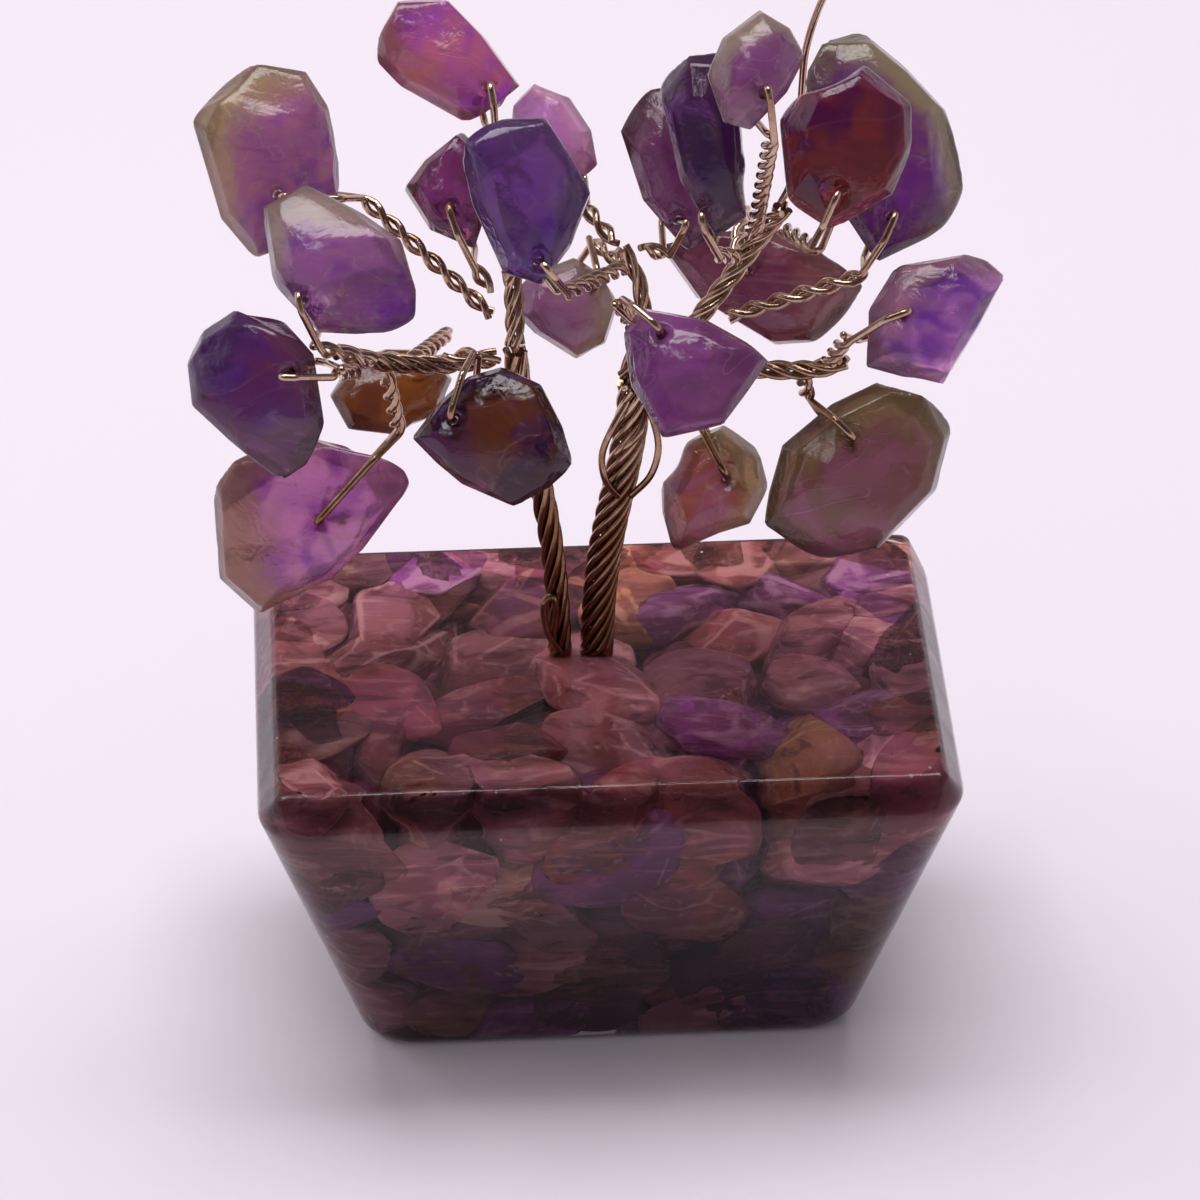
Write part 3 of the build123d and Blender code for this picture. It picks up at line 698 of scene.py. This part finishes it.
def stone_clouds_group():
    """Colour zones of a quartz stone: heart and clouds by soft noise, a murk that runs on from stone to
    stone, pale and dark streaks, a skin that thickens to the edge on one side, and thin pale threads;
    roughness and height of the worn skin. Edge shade paints shade at the outer rim; Shade scales the
    brightness, which for the bed's stones holds painted light and shade; and for the bed's stones Side
    holds a painted paleness towards the back of the top."""
    tree, source, sink = group(
        "stone_clouds",
        {"Place": "Vector", "Rim": "Float", "Side": "Float", "Shade": "Float", "Heart": "Color",
         "Clouds": "Color", "Skin": "Color", "Skin share": "Float", "Edge shade": "Float", "Streaks": "Float",
         "Murk": "Float"},
        {"Colour": "Color", "Roughness": "Float", "Height": "Float"})
    place, pale, streaks = source["Place"], source["Skin"], source["Streaks"]
    broad = noise(tree, place, scale=0.22, detail=2.0, warp=0.8)
    fine = noise(tree, place, scale=0.9, detail=4.0, warp=1.2)
    grit = noise(tree, place, scale=5.0)
    drift = noise(tree, place, scale=0.13, detail=2.0, warp=0.6)
    streak = noise(tree, stretched(tree, place, (0.36, 1.0, 1.6)), scale=0.55, detail=4.0, warp=1.1)
    feather = noise(tree, stretched(tree, place, (0.5, 1.6, 0.9)), scale=0.2, detail=2.0, warp=1.0)

    colour = mixed(tree, ramp(tree, broad, 0.4, 0.56), source["Heart"], source["Clouds"])
    colour = mixed(tree, times(tree, ramp(tree, fine, 0.58, 0.74), 0.55), colour, pale)
    murk = mixed(tree, ramp(tree, drift, 0.4, 0.6), BROWN_MURK, VIOLET_MURK)
    colour = mixed(tree, source["Murk"], colour, murk)
    colour = mixed(tree, times(tree, ramp(tree, streak, 0.52, 0.72), streaks), colour, pale)
    colour = mixed(tree, times(tree, ramp(tree, streak, 0.46, 0.3), streaks), colour, DARK_STREAK)

    # For the bed's stones Side holds painted light: paler skins towards the back of the top
    edge = times_add(tree, source["Side"], 0.4, source["Rim"])
    edge = times_add(tree, fine, 0.5, edge)
    skin = times(tree, ramp(tree, edge, 0.85, 1.35), source["Skin share"])
    colour = mixed(tree, skin, colour, pale)
    # Painted shade: the stones darken towards their outer rim by Edge shade
    painted_shade_share = times(tree, ramp(tree, source["Rim"], 0.93, 1.0), source["Edge shade"])
    colour = mixed(tree, painted_shade_share, colour, PAINTED_RIM_SHADE)
    band = math_node(tree, "ABSOLUTE", math_node(tree, "SUBTRACT", feather, 0.5))
    thread = math_node(tree, "SUBTRACT", 1.0, ramp(tree, band, 0.0, 0.008))
    colour = mixed(tree, times(tree, thread, 0.1), colour, PALE_THREAD)
    # Shade scales the brightness: random tone, times painted light and shade for the bed's stones
    colour = node(tree, "ShaderNodeHueSaturation", None, Color=colour, Value=source["Shade"]).outputs[0]

    rough = times_add(tree, ramp(tree, grit, 0.5, 0.8), 0.08, 0.035)
    rough = times_add(tree, skin, 0.1, rough)
    height = math_node(tree, "ADD", times(tree, fine, 0.8), times(tree, grit, 0.12))
    for key, value in (("Colour", colour), ("Roughness", rough), ("Height", height)):
        tree.links.new(value, sink.inputs[key])


def wire_tarnish_group():
    """Drawn wire: bright metal worn through brown tarnish by soft noise, and browner and rougher lower down,
    towards the trunks' feet.
    """
    tree, source, sink = group("wire_tarnish", {"Place": "Vector", "Metal": "Color", "Tarnish": "Color"},
                               {"Colour": "Color", "Roughness": "Float", "Height": "Float"})
    place = source["Place"]
    broad = noise(tree, place, scale=0.35, warp=0.5)
    fine = noise(tree, place, scale=6.0, detail=4.0)
    height = node(tree, "ShaderNodeSeparateXYZ", None, Vector=place).outputs["Z"]
    # More of the brown colour lower down, towards the trunks' feet
    low = math_node(tree, "SUBTRACT", 1.0, ramp(tree, height, 26.0, 52.0))
    dull = times_add(tree, broad, 0.9, times_add(tree, low, 0.3, -0.2))
    dull = times_add(tree, fine, 0.4, dull)
    share = ramp(tree, dull, 0.25, 0.85)
    colour = mixed(tree, share, source["Metal"], source["Tarnish"])
    rough = times_add(tree, share, 0.14, 0.11)
    for key, value in (("Colour", colour), ("Roughness", rough), ("Height", fine)):
        tree.links.new(value, sink.inputs[key])


def new_material(name):
    """Material with its tree, Principled shader, output, and place in mm."""
    material = bpy.data.materials.new(name)
    material.use_nodes = True
    tree = material.node_tree
    shader, output = tree.nodes["Principled BSDF"], tree.nodes["Material Output"]
    place = node(tree, "ShaderNodeVectorMath", {"operation": "SCALE"},
                 i0=node(tree, "ShaderNodeTexCoord").outputs["Object"], Scale=1 / MM).outputs[0]
    return material, tree, shader, output, place


def attribute(tree, name):
    """Value of a piece's own attribute."""
    return node(tree, "ShaderNodeAttribute", {"attribute_name": name}).outputs["Fac"]


def bumped(tree, height, strength, distance):
    """Normal of a height, in mm."""
    return node(tree, "ShaderNodeBump", None, Height=height, Strength=strength,
                Distance=distance * MM).outputs[0]


def lamps_through(tree, shader, output, share):
    """Lets rays from lamps through a clear piece, by a share, so that what is inside or behind it is lit."""
    clear = node(tree, "ShaderNodeBsdfTransparent")
    path = node(tree, "ShaderNodeLightPath").outputs["Is Shadow Ray"]
    mix = node(tree, "ShaderNodeMixShader", None, i0=times(tree, path, share), i1=shader.outputs[0],
               i2=clear.outputs[0])
    tree.links.new(mix.outputs[0], output.inputs["Surface"])


def stone_material(name, colours, skin_share, clear, lit, ior, edge_shade, streaks, murk):
    """Quartz of the given colours; clear is the share that is seen through, lit the share that lamps pass."""
    material, tree, shader, output, place = new_material(name)
    heart, clouds, skin = map(linear, colours)
    zones = node(tree, "ShaderNodeGroup", {"node_tree": bpy.data.node_groups["stone_clouds"]}, Place=place,
                 Rim=attribute(tree, "rim"), Side=attribute(tree, "side"), Shade=attribute(tree, "shade"),
                 Heart=heart, Clouds=clouds, Skin=skin, Skin_share=skin_share, Edge_shade=edge_shade,
                 Streaks=streaks, Murk=murk)
    tree.links.new(zones.outputs["Colour"], shader.inputs["Base Color"])
    tree.links.new(zones.outputs["Roughness"], shader.inputs["Roughness"])
    tree.links.new(bumped(tree, zones.outputs["Height"], 0.35, 0.25), shader.inputs["Normal"])
    shader.inputs["Transmission Weight"].default_value = clear
    shader.inputs["IOR"].default_value = ior
    lamps_through(tree, shader, output, lit)
    return material


def resin_material(tint):
    """Clear cast resin: polished walls, a faintly hazed top, ground bevels that are rougher and tinted darker
    as painted shade, smears and ripples.
    """
    material, tree, shader, output, place = new_material("cast_resin")
    zone = attribute(tree, "zone")
    off_bevel = math_node(tree, "ABSOLUTE", math_node(tree, "SUBTRACT", zone, 1.0))
    bevel = math_node(tree, "SUBTRACT", 1.0, math_node(tree, "MINIMUM", 1.0, off_bevel))
    top = ramp(tree, zone, 1.2, 1.9)
    ripple = noise(tree, place, scale=0.16, detail=2.0)
    smear = noise(tree, place, scale=1.4, detail=4.0, warp=1.0)
    rough = times_add(tree, top, 0.09, 0.012)
    rough = times_add(tree, bevel, 0.03, rough)
    rough = times_add(tree, ramp(tree, smear, 0.5, 0.8), 0.05, rough)
    colour = mixed(tree, times(tree, ramp(tree, smear, 0.45, 0.75), 0.12), (*tint, 1), RESIN_SMEAR)
    # Painted shade: the bevels' tint is darkened so that they read as a dark band
    colour = mixed(tree, times(tree, bevel, 0.85), colour, PAINTED_BEVEL_SHADE)
    tree.links.new(colour, shader.inputs["Base Color"])
    tree.links.new(rough, shader.inputs["Roughness"])
    height = times_add(tree, smear, 0.05, ripple)
    tree.links.new(bumped(tree, height, 0.3, 0.6), shader.inputs["Normal"])
    shader.inputs["Transmission Weight"].default_value = 1.0
    shader.inputs["IOR"].default_value = 1.42
    lamps_through(tree, shader, output, 0.95)
    return material


def bubble_material():
    """Air in the resin, with a faintly clouded, near-white skin that is partly painted highlight, so that the
    bubbles read as bright specks.
    """
    material, tree, shader, output, place = new_material("air_bubble")
    rough = times(tree, noise(tree, place, scale=4.0, detail=2.0), 0.12)
    tree.links.new(rough, shader.inputs["Roughness"])
    # Near-white colour: a clouded skin, and partly a painted highlight on the bubbles
    shader.inputs["Base Color"].default_value = BUBBLE_SKIN_AND_GLINT
    shader.inputs["Transmission Weight"].default_value = 0.8
    shader.inputs["IOR"].default_value = 1.3
    lamps_through(tree, shader, output, 0.8)
    return material


def wire_material(settings):
    """Brown craft wire."""
    material, tree, shader, _, place = new_material("craft_wire")
    skin = node(tree, "ShaderNodeGroup", {"node_tree": bpy.data.node_groups["wire_tarnish"]}, Place=place,
                Metal=(*settings.metal, 1), Tarnish=(*settings.tarnish, 1))
    tree.links.new(skin.outputs["Colour"], shader.inputs["Base Color"])
    tree.links.new(skin.outputs["Roughness"], shader.inputs["Roughness"])
    tree.links.new(bumped(tree, skin.outputs["Height"], 0.25, 0.04), shader.inputs["Normal"])
    shader.inputs["Metallic"].default_value = 1.0
    return material


def paper_material(colour):
    """Matt paper with a faint, broad grain."""
    material, tree, shader, _, place = new_material("pale_paper")
    grain = times(tree, noise(tree, place, scale=0.02), 0.06)
    tree.links.new(mixed(tree, grain, (*colour, 1), PAPER_GRAIN), shader.inputs["Base Color"])
    shader.inputs["Roughness"].default_value = 0.75
    return material


def add_bubbles(settings, block, rng):
    """Air bubbles scattered about the block and drawn in under its skin."""
    spread, foot, skin = (1.3, 1.3, 1.1), 2.0, 0.2
    form, quads, fans = unit_stone(*BUBBLE_GRID)
    low, high = BLOCK_LOW * spread, BLOCK_HIGH * spread
    spots = kept_inside(rng.uniform((*low[:2], foot), high, (settings.bubbles, 3)), skin, block)
    sizes = rng.uniform(*BUBBLE_RADIUS, (settings.bubbles, 1, 1))
    piece = mesh_piece("air_bubbles", (form * sizes + spots[:, None]).reshape(-1, 3),
                       repeated(quads, settings.bubbles, len(form)),
                       repeated(fans, settings.bubbles, len(form)), "tree", [])
    piece.data.materials.append(bubble_material())


def add_floor(scene, colour):
    """Wide sheet of paper under the object."""
    mesh = bpy.data.meshes.new("floor")
    corners = [(x * FLOOR_HALF, y * FLOOR_HALF, 0) for x, y in ((-1, -1), (1, -1), (1, 1), (-1, 1))]
    mesh.from_pydata(corners, [], [(0, 1, 2, 3)])
    mesh.materials.append(paper_material(colour))
    floor = bpy.data.objects.new("floor", mesh)
    scene.collection.objects.link(floor)


def add_backdrop(scene, colour):
    """Soft light from all round. Rays that are seen, mirrored or bent find a backdrop that dims upwards and
    towards the front."""
    world = bpy.data.worlds.new("studio")
    scene.world = world
    world.use_nodes = True
    tree = world.node_tree
    soft, output = tree.nodes["Background"], tree.nodes["World Output"]
    soft.inputs["Color"].default_value = (*colour, 1)
    soft.inputs["Strength"].default_value = 0.36
    dim = 0.25
    way = node(tree, "ShaderNodeTexCoord").outputs["Generated"]
    way = node(tree, "ShaderNodeSeparateXYZ", None, Vector=way).outputs
    upward = node(tree, "ShaderNodeMapRange", None, Value=way["Z"], From_Min=0.2, From_Max=0.5, To_Min=1.0,
                  To_Max=dim).outputs[0]
    frontward = node(tree, "ShaderNodeMapRange", None, Value=way["Y"], From_Min=-0.6, From_Max=-0.1,
                     To_Min=dim).outputs[0]
    seen = node(tree, "ShaderNodeBackground", None, Color=(*colour, 1),
                Strength=times(tree, upward, frontward))
    path = node(tree, "ShaderNodeLightPath").outputs
    share = math_node(tree, "MAXIMUM", path["Is Glossy Ray"], path["Is Transmission Ray"])
    share = math_node(tree, "MAXIMUM", path["Is Camera Ray"], share)
    mix = node(tree, "ShaderNodeMixShader", None, i0=share, i1=soft.outputs[0], i2=seen.outputs[0])
    tree.links.new(mix.outputs[0], output.inputs["Surface"])


def add_lamps(scene):
    """Lamps that face the object."""
    for name, (place, (width, depth), watts, colour) in LAMPS.items():
        lamp = bpy.data.lights.new(name, "AREA")
        lamp.shape, lamp.size, lamp.size_y = "RECTANGLE", width, depth
        lamp.energy, lamp.color = watts, colour
        holder = bpy.data.objects.new(name, lamp)
        holder.location = place
        holder.rotation_euler = (Vector(LAMP_AIM) - Vector(place)).to_track_quat("-Z", "Y").to_euler()
        scene.collection.objects.link(holder)


def add_camera(scene, settings):
    """Camera at its distance from the centre, back along its azimuth and elevation."""
    camera = bpy.data.objects.new("camera", bpy.data.cameras.new("camera"))
    camera.data.lens, camera.data.sensor_width = settings.lens, SENSOR_WIDTH
    camera.data.clip_start, camera.data.clip_end = 0.01, 20.0
    turn, rise = settings.azimuth, settings.elevation
    back = Vector((math.sin(turn) * math.cos(rise), -math.cos(turn) * math.cos(rise), math.sin(rise)))
    right = Vector((math.cos(turn), math.sin(turn), 0))
    centre = Vector((0, 0, settings.centre))
    camera.location = centre + back * settings.distance
    look = centre + back.cross(right) * settings.lift - camera.location
    roll = Matrix.Rotation(settings.roll, 3, "Z").to_quaternion()
    camera.rotation_mode = "QUATERNION"
    camera.rotation_quaternion = look.to_track_quat("-Z", "Y") @ roll
    scene.collection.objects.link(camera)
    scene.camera = camera


class GEMTREE_OT_looks(bpy.types.Operator):
    """Builds the shared node groups of stone and wire"""

    bl_idname = "gemtree.looks"
    bl_label = "Shared looks"

    def execute(self, context):
        stone_clouds_group()
        wire_tarnish_group()
        return {"FINISHED"}


class GEMTREE_OT_block(bpy.types.Operator):
    """Makes the clear cast block"""

    bl_idname = "gemtree.block"
    bl_label = "Cast block"

    def execute(self, context):
        settings = context.scene.gemtree_block
        points, quads, fans, zone = block_surface(settings)
        piece = mesh_piece("cast_block", points, quads, fans, "tree", ["resin_block"],
                           {"zone": zone})
        piece.data.materials.append(resin_material(settings.tint))
        return {"FINISHED"}


class GEMTREE_OT_bed(bpy.types.Operator):
    """Fills the block with stones, one piece for each kind of stone, and with small bubbles"""

    bl_idname = "gemtree.bed"
    bl_label = "Bed of stones"

    def execute(self, context):
        settings, block = context.scene.gemtree_bed, context.scene.gemtree_block
        form, quads, fans = unit_stone(*STONE_GRID)
        made = [[] for _ in BED]
        for centres, halves, turns, rng in bed_stones(settings, block):
            kinds = rng.choice(len(BED), len(centres), p=np.array([looks[3] for looks in BED.values()]))
            for centre, half, turn, kind in zip(centres, halves, turns, kinds):
                worn, edge = weathered(form, rng, settings.facets, settings.dents, BED_SOFTNESS)
                points = kept_inside((worn * half) @ turn + centre, settings.margin / MM, block)
                # Painted light and shade: each stone's brightness is its random tone times the painted light,
                # and its pale skin thickens towards the back of the top as painted light
                light, skin = painted_bed_light(points, block)
                made[kind].append((points, rng.uniform(*STONE_SHADE) * light, edge, skin))
        for (kind, looks), stones in zip(BED.items(), made):
            # On the bed's stones the side attribute holds the painted pale skin towards the back of the top
            points, shade, rim, side = map(np.concatenate, zip(*stones))
            piece = mesh_piece(
                f"bed_stones_{kind}", points, repeated(quads, len(stones), len(form)),
                repeated(fans, len(stones), len(form)), "tree",
                ["set_stones_foot", "set_stones_middle", "set_stones_upper"],
                {"shade": shade, "rim": rim, "side": side})
            piece.data.materials.append(stone_material(f"bed_{kind}", looks[:3], BED_SKIN, **BED_FINISH))
        add_bubbles(settings, block, rng)
        return {"FINISHED"}


class GEMTREE_OT_chips(bpy.types.Operator):
    """Makes the drilled amethyst chips"""

    bl_idname = "gemtree.chips"
    bl_label = "Tree chips"

    def execute(self, context):
        settings = context.scene.gemtree_chip
        no_triangles = np.empty((0, 3), int)
        for name, (heart, clouds, skin, skin_share, _, haze) in CHIPS.items():
            points, quads, rim, side = chip_surface(name, settings)
            piece = mesh_piece(name.replace("chip_", "amethyst_"), points, quads, no_triangles, name, [name],
                               {"rim": rim, "side": side, "shade": np.ones(len(points))})
            piece.data.materials.append(stone_material(piece.name, (heart, clouds, skin), skin_share,
                                                       clear=1 - haze, **CHIP_FINISH))
        return {"FINISHED"}


class GEMTREE_OT_wire(bpy.types.Operator):
    """Gives the trunks, branches and loops their metal, and adds the loose wire"""

    bl_idname = "gemtree.wire"
    bl_label = "Wire"

    def execute(self, context):
        settings = context.scene.gemtree_wire
        metal = wire_material(settings)
        made = [wire_surface(smooth_route(corners, settings.steps), settings.thickness / MM / 2)
                for corners in LOOSE_WIRE]
        wires, quads, fans = zip(*made)
        loose = mesh_piece("loose_wire", np.concatenate(wires), repeated(quads[0], len(made), len(wires[0])),
                           repeated(fans[0], len(made), len(wires[0])), "tree", [])
        loose.data.materials.append(metal)
        for name, cad in frame["nodes"].items():
            if name.startswith("wire_") or name.endswith(("_trunk", "_branch")):
                cad.data.materials.clear()
                cad.data.materials.append(metal)
        return {"FINISHED"}


class GEMTREE_OT_stage(bpy.types.Operator):
    """Sets up the floor, the soft light and the camera"""

    bl_idname = "gemtree.stage"
    bl_label = "Stage"

    def execute(self, context):
        settings, scene = context.scene.gemtree_stage, context.scene
        scene.view_settings.view_transform = "Standard"
        add_floor(scene, settings.floor)
        add_backdrop(scene, settings.backdrop)
        add_lamps(scene)
        add_camera(scene, settings)
        return {"FINISHED"}


OPERATORS = (GEMTREE_OT_looks, GEMTREE_OT_block, GEMTREE_OT_bed, GEMTREE_OT_chips, GEMTREE_OT_wire,
             GEMTREE_OT_stage)
SETTINGS = {"gemtree_block": BlockSettings, "gemtree_bed": BedSettings, "gemtree_chip": ChipSettings,
            "gemtree_wire": WireSettings, "gemtree_stage": StageSettings}


class GEMTREE_PT_panel(bpy.types.Panel):
    """Lists the steps and settings of the gemstone tree"""

    bl_idname = "GEMTREE_PT_panel"
    bl_label = "Gemstone tree"
    bl_space_type = "VIEW_3D"
    bl_region_type = "UI"
    bl_category = "Gem tree"

    def draw(self, context):
        for operator in OPERATORS:
            self.layout.operator(operator.bl_idname)
        for key, kind in SETTINGS.items():
            box = self.layout.box()
            for prop in kind.__annotations__:
                box.prop(getattr(context.scene, key), prop)


def register():
    for kind in (*SETTINGS.values(), *OPERATORS, GEMTREE_PT_panel):
        bpy.utils.register_class(kind)
    for key, kind in SETTINGS.items():
        setattr(bpy.types.Scene, key, PointerProperty(type=kind))


def unregister():
    for key in SETTINGS:
        delattr(bpy.types.Scene, key)
    for kind in reversed((*SETTINGS.values(), *OPERATORS, GEMTREE_PT_panel)):
        bpy.utils.unregister_class(kind)


def main():
    register()
    bpy.ops.gemtree.looks()
    bpy.ops.gemtree.block()
    bpy.ops.gemtree.bed()
    bpy.ops.gemtree.chips()
    bpy.ops.gemtree.wire()
    bpy.ops.gemtree.stage()


if __name__ == "__main__":
    main()
